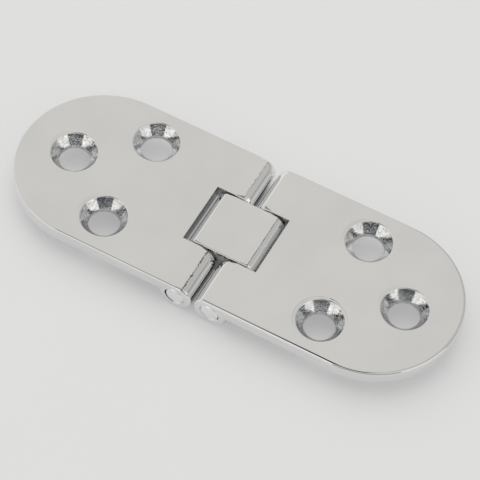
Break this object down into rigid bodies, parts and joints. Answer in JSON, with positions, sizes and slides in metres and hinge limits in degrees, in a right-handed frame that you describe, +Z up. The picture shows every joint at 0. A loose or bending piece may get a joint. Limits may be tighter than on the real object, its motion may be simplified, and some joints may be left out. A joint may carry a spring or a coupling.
{
  "type": "folding table hinge",
  "caption": "Flat folding table hinge with two round-ended leaves on a flush centre link between twin pins, countersunk for wood screws.",
  "frame": {"origin": "centre of the open hinge, on the surface that its knuckles rest on", "axes": "+X along the hinge towards the right leaf, +Y along the pins, +Z up out of the leaves' top faces"},
  "size_m": [0.08, 0.03, 0.0057],
  "materials": {
    "plated_leaf": "bright nickel plate",
    "plated_link": "bright nickel plate",
    "pin_steel": "bright plated steel"
  },
  "bodies": {
    "left_side": {"left_leaf": "plated_leaf", "left_pin": "pin_steel"},
    "link": {"centre_link": "plated_link"},
    "right_side": {"right_leaf": "plated_leaf", "right_pin": "pin_steel"}
  },
  "joints": [
    {"name": "left_pin_fold", "type": "hinge", "parent": "left_side", "child": "link", "pos_m": [-0.0032, 0, 0.003], "axis": [0, -1, 0], "range_deg": [0, 90]},
    {"name": "right_pin_fold", "type": "hinge", "parent": "link", "child": "right_side", "pos_m": [0.0032, 0, 0.003], "axis": [0, -1, 0], "range_deg": [0, 90]}
  ]
}
